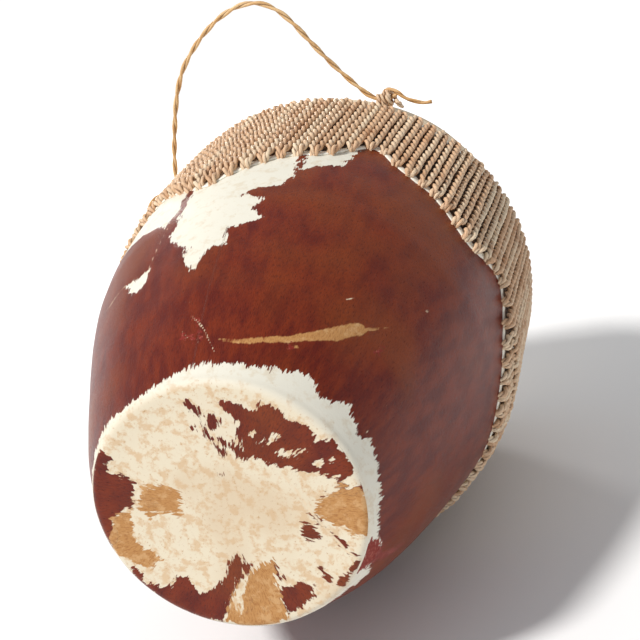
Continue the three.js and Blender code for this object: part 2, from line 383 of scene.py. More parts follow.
# Base face: x to +X and y upwards, in units of the face's radius
FACE_BROWN = [
    [(.12, .86), (.22, .85), (.31, .80), (.37, .75), (.43, .80), (.50, .81), (.57, .72), (.66, .63),
     (.77, .57),
     (.78, .49), (.88, .45), (.95, .36), (.99, .24), (.96, .16), (.82, .18), (.68, .24), (.50, .28),
     (.36, .34),
     (.24, .42), (.23, .55), (.25, .68), (.20, .76)],
    [(.09, .56), (.16, .53), (.27, .42), (.22, .38), (.13, .47)],
    [(.88, .07), (1.05, .13), (1.05, .02), (.90, .03)],
    [(.51, -.18), (.60, -.22), (.64, -.32), (.56, -.31), (.50, -.29)],
    [(.20, -.72), (.33, -.68), (.49, -.67), (.46, -.78), (.40, -.83), (.30, -.90), (.22, -.93), (.20, -.82)],
    [(-.90, -.42), (-.84, -.40), (-.80, -.52), (-.72, -.60), (-.63, -.59), (-.58, -.54), (-.47, -.53),
     (-.44, -.60), (-.42, -.68), (-.33, -.68), (-.24, -.63), (-.17, -.52), (-.10, -.46), (-.06, -.38),
     (-.01, -.38), (-.01, -.46), (.05, -.48), (.0, -.57), (-.10, -.63), (-.17, -.72), (-.22, -.82),
     (-.28, -.92), (-.40, -.95), (-.55, -.88), (-.68, -.78), (-.80, -.66), (-.88, -.54)],
    [(-.82, .57), (-.74, .50), (-.80, .46), (-.82, .38), (-.72, .36), (-.66, .33), (-.66, .22), (-.70, .13),
     (-.74, .07), (-.84, .05), (-.90, .0), (-.90, -.10), (-.96, -.24), (-1.02, -.10), (-1.05, .10),
     (-1.03, .25), (-.98, .36), (-.92, .47)],
    [(-.64, .16), (-.56, .20), (-.52, .10), (-.58, .04), (-.60, .09)],
]
FACE_BROWN_STROKES = [
    ([(-.07, .86), (.016, .757)], .035), ([(.04, .52), (.107, .43)], .03), ([(.0, .63), (.03, .57)], .03),
    ([(.69, .02), (.85, .06), (1.03, .08)], .04), ([(.54, -.56), (.60, -.65)], .035),
    ([(.66, -.70), (.84, -.54)], .035), ([(.21, -.48), (.24, -.62)], .035), ([(-.03, -.77),
      (-.09, -.86)], .025),
    ([(.10, -.80), (.06, -.86)], .025), ([(.62, -.12), (.70, -.28), (.84, -.48)], .02),
]
FACE_BROWN_BLOBS = [(.07, .69, .06, .05, 30), (-.08, .675, .022, .022, 0), (.02, .28, .01, .01, 0)]
FACE_CREAM_BLOBS = [
    (.34, .805, .035, .025, 0), (.445, .52, .055, .022, 30), (.56, .39, .07, .02, 0),
    (.80, .30, .055, .02, 15),
    (.38, .57, .03, .012, 0), (-.10, -.70, .03, .13, -20),
]
FACE_OCHRE = [
    [(.66, .0), (.80, .07), (1.0, .09), (1.05, -.2), (.97, -.33), (.85, -.30), (.74, -.2), (.63, -.10)],
    [(-.16, -.72), (-.06, -.62), (.06, -.52), (.22, -.46), (.20, -.60), (.19, -.80), (.22, -.95),
     (.05, -1.03),
     (-.12, -1.02), (-.28, -.94)],
    [(-.90, .02), (-.73, .08), (-.76, -.04), (-.79, -.16), (-.72, -.26), (-.66, -.33), (-.62, -.38),
     (-.70, -.44), (-.82, -.39), (-.95, -.30), (-.97, -.18)],
    [(-.60, .24), (-.50, .26), (-.38, .23), (-.31, .18), (-.35, .08), (-.38, -.04), (-.44, .02), (-.52, .02),
     (-.62, -.03), (-.66, .10)],
]
FACE_SCAR = [(.47, .23), (.53, .12), (.59, -.06), (.68, -.25), (.78, -.43), (.85, -.50)]

# Side: angle in degrees, and station as a share of the drum's length. PATCH_RADIUS turns an angle
# into a width there, and a stroke's width is in mm.
PATCH_RADIUS = 120 * MM
RING_TOP_ANGLES = [-180, -140, -100, -70, -45, -32, -18, -8, 0, 10, 24, 33, 44, 50, 60, 68, 76, 86, 95,
                   106, 120, 140, 180]
RING_TOP = [.0, .012, .006, .014, .018, .008, .010, .02, .032, .034, .038, .044, .054, .038, .057, .042, .05,
            .043, .034, .026, .046, .03, .0]
SIDE_WHITE = [
    [(-19, .435), (-17.5, .49), (-16, .60), (-7, .62), (-2, .60), (1.8, .56), (5, .58), (11, .58),
     (12.5, .49),
     (11, .454), (2, .443), (.5, .424), (5.7, .42), (7.3, .406), (5, .383), (8.6, .354), (4.4, .339),
     (-.8, .328), (.7, .283), (-3.4, .287), (-6, .257), (-8, .228), (-11.9, .264), (-12.5, .302),
     (-17, .324), (-20.3, .368), (-19, .406)],
    [(-60, .66), (-47, .66), (-21, .60), (-20.5, .45), (-24, .413), (-27, .435), (-32, .45), (-38, .465),
     (-50, .50), (-58, .56)],
    [(-36, .305), (-31, .298), (-26, .300), (-25.8, .275), (-28, .255), (-31, .257), (-34, .28)],
    [(129, .0), (143, .0), (141, .05), (136, .068), (131, .045)],
    [(13, .66), (27, .68), (24, .56), (14, .515)],
]
SIDE_WHITE_STROKES = [
    ([(-20, .45), (-24, .37), (-26.8, .29)], [.9, .5, .9]), ([(-5.4, .130), (.5, .10)], [.9, 1.6]),
    ([(.5, .10), (7, .053)], [1.4, .5]), ([(-1.5, .085), (4.4, .035)], [.5, .2]), ([(-7.5, .10),
      (-4, .083)], [.3, .9]),
    ([(63.6, .325), (63.2, .308)], [.6, 1.6]), ([(71, .058), (71.6, .050)], .9), ([(41, .212),
      (43.5, .226)], [.5, .8]),
    ([(69, .118), (71.5, .106)], .35), ([(-8, .16), (-4.8, .152)], .4),
]
SIDE_SCRATCHES = [([(-51, .332), (-46, .314), (-36, .309)], [.4, 1.4, .8])]
SIDE_OCHRE_STROKES = [
    ([(7.6, .075), (14, .073), (20, .079), (30.4, .097), (37, .118), (43, .142), (49, .18), (50, .186)],
     [1.0, 2.6, 3.4, 4.2, 6.0, 9.0, 8.0, 2.0]),
    ([(49.5, .18), (53, .20), (56.4, .222)], [2.0, 1.2, .6]), ([(31, .082), (34, .09)], [.8, 1.6]),
]
SIDE_CRIMSON = [
    [(112, .0), (129, .0), (128.5, .055), (132, .13), (130, .15), (127.5, .11), (124.5, .06), (119, .05),
     (113, .028)],
]
SIDE_CRIMSON_STROKES = [
    ([(57, .168), (58.4, .178)], [1.6, 1.2]), ([(-6.5, .088), (-2.5, .082)], [2.0, 2.2]),
    ([(-3, .118), (-1.4, .108)], 1.2), ([(-.5, .095), (.5, .082)], 1.2), ([(31.8, .084), (33.5, .089)], .5),
]


def face_fields(x, y, size):
    """Brown, ochre, crimson and scar fields of the base face, in metres, positive inside.

    The face has no crimson, so that field is far outside everywhere."""
    brown = np.max([polygon_field(x, y, p) for p in FACE_BROWN], axis=0)
    brown = np.maximum(brown, np.max([stroke_field(x, y, p, w) for p, w in FACE_BROWN_STROKES], axis=0))
    brown = np.maximum(brown, np.max([blob_field(x, y, *b) for b in FACE_BROWN_BLOBS], axis=0))
    cream = np.max([blob_field(x, y, *b) for b in FACE_CREAM_BLOBS], axis=0)
    ochre = np.max([polygon_field(x, y, p) for p in FACE_OCHRE], axis=0)
    ochre = np.minimum(ochre, -cream)
    scar = stroke_field(x, y, FACE_SCAR, .018)
    return np.minimum(brown, -cream) * size, ochre * size, np.full(x.shape, -1.0), scar * size


def side_fields(angle, station):
    """The same four fields on the side, which is brown but for its white patches."""
    degrees = np.degrees(angle)
    per_degree = math.radians(1) * PATCH_RADIUS
    x, y = degrees * per_degree, station

    def placed(points):
        return [(d * per_degree, share * LENGTH) for d, share in points]

    def strokes(table):
        return np.max([stroke_field(x, y, placed(p), np.asarray(w) * MM) for p, w in table], axis=0)

    ring_top = smooth_curve(RING_TOP_ANGLES, RING_TOP)(degrees) * LENGTH
    white = ring_top - station
    white = np.maximum(white, np.max([polygon_field(x, y, placed(p)) for p in SIDE_WHITE], axis=0))
    crimson = np.max([polygon_field(x, y, placed(p)) for p in SIDE_CRIMSON], axis=0)
    crimson = np.maximum(crimson, strokes(SIDE_CRIMSON_STROKES))
    return -white, strokes(SIDE_OCHRE_STROKES), crimson, strokes(SIDE_SCRATCHES + SIDE_WHITE_STROKES)


# ---------------------------------------------------------------- materials

def hide_material():
    """Hair-on hide: chestnut hair, tan where the hair is rubbed off, cream where it is scraped."""
    s = Shader("hair_on_hide")
    grain = s.attribute("grain", "Vector")
    place = s.position()
    face = s.attribute("face")

    spikes = s.noise(s.scaled(grain, (520, 120, 1)), detail=3)
    tufts = s.noise(s.scaled(grain, (150, 95, 1)), detail=3)
    fray = s.math("MULTIPLY_ADD", s.math("SUBTRACT", spikes, 0.5), 0.0115,
                  s.math("MULTIPLY", s.math("SUBTRACT", tufts, 0.5), 0.010))
    brown = s.ramp(s.math("ADD", s.attribute("brown"), fray), -0.0005, 0.0005)
    ochre = s.ramp(s.math("MULTIPLY_ADD", fray, s.ramp(face, 0.2, 0.8, 0.22, 1.0), s.attribute("ochre")),
                   -0.0006, 0.0006)
    scratch = s.ramp(s.math("MULTIPLY_ADD", fray, 0.12, s.attribute("scar")), -0.0003, 0.0004)
    splash = s.noise(place, 330, detail=4, roughness=0.7)
    crimson = s.ramp(s.math("MULTIPLY_ADD", s.math("SUBTRACT", splash, 0.5), 0.022, s.attribute("crimson")),
                     -0.0006, 0.0008)

    # Hair
    streaks = s.noise(s.scaled(grain, (1400, 330, 1)), detail=4, roughness=0.65)
    locks = s.noise(s.scaled(grain, (120, 45, 1)), detail=4)
    clouds = s.noise(place, 11, detail=2)
    hair = s.mix((0.110, 0.0065, 0.0003), (0.180, 0.019, 0.0010), s.ramp(locks, 0.34, 0.66))
    hair = s.mix(hair, (0.220, 0.042, 0.0030), s.ramp(clouds, 0.42, 0.62, 0.0, 0.65))
    hair = s.mix(hair, (0.030, 0.0015, 0.0002), s.ramp(streaks, 0.52, 0.34, 0.0, 0.50))
    hair = s.mix(hair, (0.34, 0.100, 0.022), s.ramp(streaks, 0.60, 0.80, 0.0, 0.34))

    # Skin without hair, on the face and on the side
    mottle = s.noise(place, 130, detail=5, roughness=0.66)
    freckles = s.noise(place, 520, detail=3, roughness=0.7)
    cream = s.mix((0.76, 0.67, 0.51), (0.66, 0.46, 0.27), s.ramp(mottle, 0.47, 0.60, 0.0, 0.80))
    cream = s.mix(cream, (0.60, 0.42, 0.25), s.ramp(clouds, 0.50, 0.66, 0.0, 0.45))
    cream = s.mix(cream, (0.42, 0.22, 0.09), s.ramp(freckles, 0.60, 0.72, 0.0, 0.60))
    white = s.mix((0.76, 0.73, 0.63), (0.66, 0.57, 0.43), s.ramp(mottle, 0.50, 0.66, 0.0, 0.60))
    white = s.mix(white, (0.48, 0.30, 0.16), s.ramp(freckles, 0.65, 0.76, 0.0, 0.40))
    bare = s.mix(white, cream, face)

    rubbed = s.mix((0.50, 0.25, 0.085), (0.36, 0.15, 0.045), s.ramp(streaks, 0.46, 0.62, 0.0, 0.8))
    rubbed = s.mix(rubbed, (0.62, 0.37, 0.17), s.ramp(mottle, 0.48, 0.62, 0.0, 0.7))
    blood = s.mix((0.21, 0.018, 0.010), (0.46, 0.14, 0.10), s.ramp(freckles, 0.52, 0.68, 0.0, 0.8))

    color = s.mix(bare, hair, brown)
    color = s.mix(color, rubbed, ochre)
    color = s.mix(color, (0.74, 0.60, 0.42), scratch)
    color = s.mix(color, blood, crimson)

    rough = s.math("MULTIPLY_ADD", s.ramp(streaks, 0.3, 0.7), 0.16, s.ramp(brown, 0.0, 1.0, 0.60, 0.27))
    hair_height = s.math("MULTIPLY_ADD", streaks, 0.9, s.math("MULTIPLY", locks, 0.6))
    skin_height = s.math("MULTIPLY", s.math("ADD", mottle, freckles), 0.25)
    height = s.math("MULTIPLY_ADD", brown, hair_height, skin_height)
    return s.finish(color, rough, s.bump(height, 0.55, 0.0006), Specular_IOR_Level=0.30)


def head_material():
    """Scraped playing skin: ivory, darker and smoother where hands strike it."""
    s = Shader("scraped_skin")
    place = s.position()
    played = s.attribute("played")
    clouds = s.noise(place, 22, detail=4, roughness=0.6)
    mottle = s.noise(place, 120, detail=5, roughness=0.65)
    pores = s.noise(place, 900, detail=2)
    veins = s.math("ABSOLUTE", s.math("SUBTRACT", s.noise(place, 26, detail=3, distortion=0.6), 0.5))
    color = s.mix((0.80, 0.66, 0.46), (0.66, 0.47, 0.28), s.ramp(clouds, 0.40, 0.66, 0.0, 0.85))
    color = s.mix(color, (0.88, 0.79, 0.62), s.ramp(mottle, 0.52, 0.70, 0.0, 0.6))
    color = s.mix(color, (0.50, 0.31, 0.17), s.ramp(veins, 0.022, 0.0, 0.0, 0.30))
    struck = s.math("MULTIPLY", played, s.ramp(clouds, 0.25, 0.75, 0.30, 0.62))
    color = s.mix(color, (0.43, 0.26, 0.14), struck)
    color = s.mix(color, (0.36, 0.19, 0.09), s.ramp(s.attribute("worn"), 0.2, 1.0, 0.0, 0.55))
    rough = s.math("MULTIPLY_ADD", played, -0.14, s.ramp(mottle, 0.3, 0.7, 0.50, 0.64))
    height = s.math("MULTIPLY_ADD", pores, 0.35, s.math("ADD", mottle, clouds))
    return s.finish(color, rough, s.bump(height, 0.5, 0.0007), Specular_IOR_Level=0.5)


def wood_material():
    """Carved wood, seen only between the strands of the lacing."""
    s = Shader("carved_wood")
    place = s.position()
    rings = s.noise(s.scaled(place, (130, 9, 130)), detail=4, roughness=0.6)
    cuts = s.noise(s.scaled(place, (42, 90, 42)), detail=2)
    color = s.mix((0.10, 0.048, 0.021), (0.19, 0.096, 0.045), s.ramp(rings, 0.35, 0.65))
    color = s.mix(color, (0.035, 0.016, 0.008), s.ramp(cuts, 0.58, 0.72, 0.0, 0.6))
    height = s.math("MULTIPLY_ADD", cuts, 1.5, rings)
    return s.finish(color, s.ramp(rings, 0.3, 0.7, 0.58, 0.74), s.bump(height, 0.6, 0.0008))


def thong_material(name, light, middle, dark, painted_groove_shade):
    """Twisted rawhide: fibres along each ply, painted shade in the grooves between the plies, each strand of
    its own tone.
    """
    s = Shader(name)
    run = s.attribute("run", "Vector")
    place = s.position()
    fibres = s.noise(s.scaled(run, (1300, 150, 1)), detail=3, roughness=0.65)
    patches = s.noise(s.scaled(run, (160, 120, 1)), detail=3)
    stains = s.noise(place, 45, detail=4, roughness=0.6)
    color = s.mix(middle, light, s.ramp(s.math("ADD", patches, s.attribute("tone")), 0.30, 0.80))
    color = s.mix(color, dark, s.ramp(stains, 0.50, 0.70, 0.0, 0.62))
    color = s.mix(color, dark, s.ramp(fibres, 0.50, 0.30, 0.0, 0.55))
    # painted shade: the grooves between the plies are darkened towards the shade colour, by how low each
    # point lies below its ply's crest
    color = s.mix(painted_groove_shade, color, s.ramp(s.attribute("crest"), 0.02, 0.48))
    rough = s.ramp(patches, 0.3, 0.7, 0.46, 0.66)
    height = s.math("MULTIPLY_ADD", fibres, 0.6, patches)
    return s.finish(color, rough, s.bump(height, 0.7, 0.0005), Specular_IOR_Level=0.5)


def strip_material():
    """White rawhide with a few yellow stains."""
    s = Shader("white_rawhide")
    place = s.position()
    clouds = s.noise(place, 70, detail=4, roughness=0.6)
    grain = s.noise(place, 700, detail=3)
    color = s.mix((0.91, 0.88, 0.78), (0.74, 0.61, 0.42), s.ramp(clouds, 0.52, 0.74, 0.0, 0.8))
    color = s.mix(color, (0.55, 0.42, 0.28), s.ramp(grain, 0.62, 0.8, 0.0, 0.35))
    height = s.math("MULTIPLY_ADD", grain, 0.4, clouds)
    return s.finish(color, s.ramp(clouds, 0.3, 0.7, 0.46, 0.62), s.bump(height, 0.5, 0.0005))


def floor_material():
    s = Shader("floor")
    place = s.position()
    tone = s.noise(place, 3, detail=2)
    grain = s.noise(place, 260, detail=3)
    color = s.mix((0.86, 0.86, 0.87), (0.89, 0.89, 0.89), tone)
    return s.finish(color, s.ramp(tone, 0.3, 0.7, 0.75, 0.85), s.bump(grain, 0.15, 0.0003))


# ---------------------------------------------------------------- hide over the small end

COLUMNS = 480


def make_cup(name, angles, stations, radii, middles, material, faces_forward):
    """A closed skin like a cup, from rows of points that run from its middle, over its rim, and back
    inside. middles are the stations of the two middle points, outside and inside."""
    rows, columns = stations.shape
    count = rows * columns
    points = on_drum(angles, stations, radii).reshape(-1, 3)
    points = np.vstack([points, [[0, BASE_Y + station, AXIS_Z] for station in middles]])
    faces = grid_faces(rows, columns, closed_columns=True)
    last = count - columns
    for j in range(columns):
        after = (j + 1) % columns
        faces.append([count, after, j])
        faces.append([count + 1, last + j, last + after])
    if faces_forward:
        faces = [face[::-1] for face in faces]
    return add_mesh(name, points, faces, material)


def filled(rows, place, shape):
    """One column of a list of rows, each value spread over the whole circle."""
    return np.array([np.broadcast_to(row[place], shape) for row in rows], float)


def slit_station(angle):
    return hide_edge(angle) - TIP_BELOW_EDGE


def hide_surface(angle, station):
    """Outer radius of the hide, drawn up a little where the lacing pulls at its slits."""
    nearest = np.floor(angle / (2 * PITCH)) * 2 * PITCH + PITCH
    across = (angle - nearest) * MAX_RADIUS
    above = station - slit_station(nearest)
    pull = 0.7 * MM * np.exp(-(across / (1.6 * MM)) ** 2 - (above / (5 * MM)) ** 2)
    return hide_radius(angle, station) + pull


def make_hide(material):
    angle = np.arange(COLUMNS) * FULL_TURN / COLUMNS
    rim = hide_radius(angle, BASE_ROUNDING) * (1 + 0.003 * wave_noise(angle, 3, waves=4, first=4))
    flat = rim - BASE_ROUNDING
    rows = []  # station, radius, 1 on the face and 0 on the side
    for share in np.linspace(0.02, 1, 44):
        radius = flat * share
        dents = wave_noise(30 * radius * np.cos(angle), 11) * wave_noise(30 * radius * np.sin(angle), 12)
        rows.append((0.9 * MM * (0.5 + 0.5 * dents) * smooth_step(1, 0.8, share), radius, 1))
    for turn in np.radians([18, 36, 54, 72, 90]):
        rows.append((BASE_ROUNDING * (1 - math.cos(turn)), flat + BASE_ROUNDING * math.sin(turn),
                     1 - 0.9 * math.sin(turn)))
    top = hide_edge(angle)
    for share in np.linspace(0, 1, 112)[1:]:
        station = BASE_ROUNDING + (top - BASE_ROUNDING) * share
        rows.append((station, hide_surface(angle, station), 0))
    for share in np.linspace(1, 0, 10):
        station = BASE_ROUNDING + (top - BASE_ROUNDING) * share
        rows.append((station + 0.3 * MM, shell_radius(station) + SKIN_GAP / 2, 0))
    rows.append((HIDE_THICKNESS, flat * 0.98, 1))
    rows.append((HIDE_THICKNESS, flat * 0.3, 1))

    stations, radii, face = (filled(rows, place, angle.shape) for place in range(3))
    angles = np.broadcast_to(angle, stations.shape)
    on_face = face > 0.45
    size = shell_radius(0) + HIDE_THICKNESS
    fields = [
        np.where(on_face, flat_field, side_field)
        for flat_field, side_field in zip(
            face_fields(radii * np.sin(angles) / size, radii * np.cos(angles) / size, size),
            side_fields((angles + math.pi) % FULL_TURN - math.pi, stations),
        )
    ]
    hair = 0.35 * MM * smooth_step(-1.5 * MM, 1.5 * MM, fields[0])
    radii = radii + np.where(on_face, 0, hair)
    hide = make_cup("base_hide_skin", angles, stations, radii, (0.5 * MM, HIDE_THICKNESS), material, False)

    for name, field in zip(("brown", "ochre", "crimson", "scar"), fields):
        set_attribute(hide, name, np.append(field.ravel(), [-0.03, -0.03]))
    set_attribute(hide, "face", np.append(face.ravel(), [1, 1]))
    across = np.where(on_face, angles * 0.055, angles * 0.125 + 0.5)
    along = np.where(on_face, radii, stations)
    grain = np.stack([across, along, np.zeros_like(along)], -1).reshape(-1, 3)
    set_attribute(hide, "grain", np.vstack([grain, np.zeros((2, 3))]))
    return hide


# ---------------------------------------------------------------- playing head

HEAD_COLUMNS = 336
HEAD_THICKNESS = 1.8 * MM
HEAD_ROUNDING = 11 * MM
HEAD_EDGE = 322 * MM


def head_radius(angle, station):
    return shell_radius(station) + SKIN_GAP + HEAD_THICKNESS + 0.5 * carving(angle, station)


def make_head(material):
    """Struck face, rounded rim, and a skirt whose edge is drawn down to the lacing."""
    angle = np.arange(HEAD_COLUMNS) * FULL_TURN / HEAD_COLUMNS
    pulled = 0.5 + 0.5 * np.cos(STRANDS / 2 * angle)
    edge = HEAD_EDGE - (3 * np.sin(14 * angle) + 2 - 2.2 * pulled) * MM
    corner = LENGTH - HEAD_ROUNDING
    at_corner = head_radius(angle, corner)
    flat = at_corner - HEAD_ROUNDING
    rows = []  # station, radius, how much it is played on, how worn it is
    for share in np.linspace(0.03, 1, 30):
        sag = 0.7 * MM * (1 - share ** 2) * (0.6 + 0.4 * wave_noise(5 * share + 2 * np.cos(angle), 21))
        rows.append((LENGTH - sag, flat * share, smooth_step(0.85, 0.35, share), 0))
    for turn in np.radians(np.linspace(10, 90, 9)):
        rows.append((corner + HEAD_ROUNDING * math.cos(turn), flat + HEAD_ROUNDING * math.sin(turn),
                     0, 0.5 * math.sin(2 * turn)))
    for share in np.linspace(1, 0, 22)[1:]:
        station = edge + (corner - edge) * share
        ripple = 0.7 * MM * pulled * (1 - share) ** 1.5
        rows.append((station, head_radius(angle, station) + ripple, 0, 1 - share))
    for share in np.linspace(0, 1, 6):
        station = edge + (corner - edge) * share
        rows.append((station + 0.2 * MM, shell_radius(station) + SKIN_GAP / 2, 0, 0))
    rows.append((LENGTH - HEAD_THICKNESS, flat * 0.98, 0, 0))
    rows.append((LENGTH - HEAD_THICKNESS, flat * 0.3, 0, 0))

    stations, radii, played, worn = (filled(rows, place, angle.shape) for place in range(4))
    angles = np.broadcast_to(angle, stations.shape)
    middles = (LENGTH - 0.5 * MM, LENGTH - HEAD_THICKNESS)
    head = make_cup("playing_head_skin", angles, stations, radii, middles, material, True)
    set_attribute(head, "played", np.append(played.ravel(), [1, 0]))
    set_attribute(head, "worn", np.append(worn.ravel(), [0, 0]))
    return head


# ---------------------------------------------------------------- twisted thong

def unit(vectors):
    return vectors / np.linalg.norm(vectors, axis=-1, keepdims=True)


def spaced(points, step):
    """Points along the same line, a step apart."""
    points = np.asarray(points, float)
    reach = np.concatenate([[0], np.cumsum(np.linalg.norm(np.diff(points, axis=0), axis=1))])
    count = max(4, int(round(reach[-1] / step)) + 1)
    wanted = np.linspace(0, reach[-1], count)
    return np.stack([np.interp(wanted, reach, points[:, k]) for k in range(3)], -1), wanted


def smooth_line(points, step):
    """A smooth line through given points, as points a step apart."""
    points = np.asarray(points, float)
    reach = np.concatenate([[0], np.cumsum(np.linalg.norm(np.diff(points, axis=0), axis=1))])
    fine = np.linspace(0, reach[-1], 40 * len(points))
    return spaced(np.stack([smooth_curve(reach, points[:, k])(fine) for k in range(3)], -1), step)


class Ropes:
    """Gathers two-ply ropes into one mesh, with the attributes that the thong materials read."""

    def __init__(self, sides=12):
        self.sides = sides
        self.points, self.faces = [], []
        self.crest, self.run, self.tone = [], [], []
        self.count = 0

    def add(self, line, reach, out, radius, turn_length, phase=0.0, tone=0.0, depth=0.8, seed=0, rough=0.05):
        """line holds the middle points, out directions away from the object, radius one number or one
        a point. depth is 0 for a plain round thong, and near 1 for two plies with a deep groove."""
        count = len(line)
        radius = np.broadcast_to(radius, count)
        along = unit(np.gradient(line, axis=0))
        out = np.broadcast_to(out, line.shape)
        up = unit(out - along * np.sum(out * along, -1, keepdims=True))
        side = np.cross(along, up)
        around = np.arange(self.sides) * FULL_TURN / self.sides
        twist = phase - FULL_TURN * reach / turn_length
        local = around[None, :] - twist[:, None]
        shape = depth * np.abs(np.cos(local)) + np.sqrt(1 - (depth * np.sin(local)) ** 2)
        lumps = wave_noise(reach[:, None] / (1.3 * MM) + 2.1 * np.cos(local), seed, waves=3)
        ring = radius[:, None] * shape / (1 + depth) * (1 + rough * lumps)
        spokes = (np.cos(around)[None, :, None] * up[:, None, :]
                  + np.sin(around)[None, :, None] * side[:, None, :])
        self.points.append((line[:, None, :] + ring[..., None] * spokes).reshape(-1, 3))
        self.faces += grid_faces(count, self.sides, closed_columns=True, start=self.count)
        last = self.count + (count - 1) * self.sides
        self.faces.append([self.count + j for j in range(self.sides)][::-1])
        self.faces.append([last + j for j in range(self.sides)])
        # how high each point stands on its ply, 0 deep in the groove; the thong materials paint shade into
        # the grooves from it
        painted_groove_shade = (shape - shape.min()) / max(shape.max() - shape.min(), 1e-6)
        self.crest.append(np.where(depth > 0.05, painted_groove_shade, 1).ravel())
        across = local * 2.2 * MM + seed * 0.037
        run = np.stack([across, np.broadcast_to(reach[:, None], across.shape) + seed * 0.11,
                        np.zeros_like(across)], -1)
        self.run.append(run.reshape(-1, 3))
        self.tone.append(np.full(across.size, tone))
        self.count += count * self.sides

    def build(self, name, material):
        piece = add_mesh(name, np.vstack(self.points), self.faces, material)
        set_attribute(piece, "crest", np.concatenate(self.crest))
        set_attribute(piece, "run", np.vstack(self.run))
        set_attribute(piece, "tone", np.concatenate(self.tone))
        return piece


# ---------------------------------------------------------------- lacing

RING_STEP = 1.1 * MM
STRIP = 1.2 * MM


def lacing_radius(angle, station):
    """Middle of the thong: over the hem strip at the hide's edge, then straight to the head."""
    settled = hide_radius(angle, station) + STRIP + THONG / 2
    bulge = MAX_RADIUS - THONG / 2 + out_of_round(angle, station)
    return np.where(station < BELLY_START, np.minimum(settled, bulge), bulge)


def strand_line(number, rng):
    """Middle line of one strand, from the head's edge down to its slit in the hide."""
    angle = PITCH * (number + 0.5)
    inward = PITCH / 2 if number % 2 == 0 else -PITCH / 2
    bottom = slit_station(angle + inward)
    station = np.linspace(LACING_TOP, bottom, 130)
    meander = 0.55 * MM / MAX_RADIUS * wave_noise(station / 0.02, int(rng.integers(1 << 30)), waves=4)
    to_slit = smooth_step(7 * MM, 0.5 * MM, station - bottom)
    to_head = smooth_step(9 * MM, 0.5 * MM, LACING_TOP - station)
    turn = angle + LEAN * (station - bottom) + meander
    turn = turn + 0.66 * inward * to_slit - 0.66 * inward * to_head
    radius = lacing_radius(turn, station) + 0.35 * MM * wave_noise(station / 0.03, int(rng.integers(1 << 30)))
    radius = np.minimum(radius, MAX_RADIUS - 0.47 * THONG + out_of_round(turn, station))
    dive = smooth_step(4.5 * MM, 0, station - bottom)
    radius = radius * (1 - dive) + (hide_radius(turn, station) - 1.2 * MM) * dive
    rise = smooth_step(4.5 * MM, 0, LACING_TOP - station)
    radius = radius * (1 - rise) + (head_radius(turn, station) - 1.2 * MM) * rise
    return on_drum(turn, station, radius)


def make_lacing(material):
    for length in range(LENGTHS):
        rng = np.random.default_rng(100 + length)
        ropes = Ropes()
        for strand in range(STRANDS_PER_LENGTH):
            number = length * STRANDS_PER_LENGTH + strand
            line, reach = spaced(strand_line(number, rng), RING_STEP)
            out = unit(line - np.array([0, 0, AXIS_Z]) - np.outer(line[:, 1], [0, 1, 0]))
            thick = 0.5 * THONG * (1 + 0.06 * rng.normal() + 0.05 * wave_noise(reach / 0.012, number))
            to_end = np.minimum(reach, reach[-1] - reach)
            narrowed = 1 - 0.35 * smooth_step(6 * MM, 0, to_end)
            ropes.add(line, reach, out, np.clip(thick, 2.0 * MM, 2.75 * MM) * narrowed,
                      THONG_TURN * rng.uniform(0.85, 1.15), rng.uniform(0, FULL_TURN),
                      0.14 * rng.normal(), seed=number)
        piece = ropes.build(f"lacing_thong_{length + 1:02d}", material)
        finish_piece(piece, f"lacing_{length + 1:02d}")


# ---------------------------------------------------------------- hem strips

STRIP_COLUMNS = 900


def make_strip(name, middle, surface, material, seed):
    """A flat rawhide strip laid round the drum on a skin, uneven in width and height.

    middle gives the station of its middle line at an angle, and surface the radius of the skin."""
    angle = np.arange(STRIP_COLUMNS) * FULL_TURN / STRIP_COLUMNS
    low = middle(angle) - STRIP_HALF_WIDTH * (1 + 0.16 * wave_noise(angle, seed, waves=5, first=31))
    high = middle(angle) + STRIP_HALF_WIDTH * (1 + 0.16 * wave_noise(angle, seed + 1, waves=5, first=31))
    rows = []
    thickness = STRIP * 0.85
    bow = 0.35 * MM * wave_noise(angle, seed + 2, waves=3, first=40)
    section = [(0, 0.1), (0, 0.7), (0.12, 1), (0.35, 1.12), (0.65, 1.12), (0.88, 1), (1, 0.7), (1, 0.1)]
    for share, lift in section:
        station = low + (high - low) * share
        rows.append((station, surface(angle, station) + lift * thickness + bow * (lift > 0.5)))
    stations, radii = (filled(rows, place, angle.shape) for place in range(2))
    angles = np.broadcast_to(angle, stations.shape)
    faces = grid_faces(len(rows), len(angle), closed_rows=True, closed_columns=True)
    return add_mesh(name, on_drum(angles, stations, radii).reshape(-1, 3), faces, material)


# ---------------------------------------------------------------- carrying loop

# Ties of the loop's feet: along, up and out from the knot, in mm. The right one ends in a loose tail.
LEFT_TIE = [(6, -9, 2), (5.5, -3, 6.5), (2, 4, 6.2), (-4, 6.5, 3.2), (-10, 5.4, -2.2), (-14.5, 1.5, -5.5),
            (-15, -4, -5), (-13, -10, -2.5)]
RIGHT_TIE = [(-6, -9, 2), (-5.5, -3, 6), (-1, 4.5, 6), (4, 5.5, 2), (9.5, 1.5, -1.5), (13, -4.5, -2.5),
             (19, -10.5, -2), (25, -14.5, -1.5), (29.5, -15.5, -2)]


def on_loop(along, up, out=0.0):
    """Places near the loop: along the line between its feet, up in its plane, and out towards +Y."""
    along, up, out = (np.asarray(v, float)[..., None] for v in np.broadcast_arrays(along, up, out))
    return (np.array(LEFT_FOOT) + along * np.array(FOOT_AXIS) + up * np.array(LOOP_UP)
            + out * np.array([0, 1, 0]))


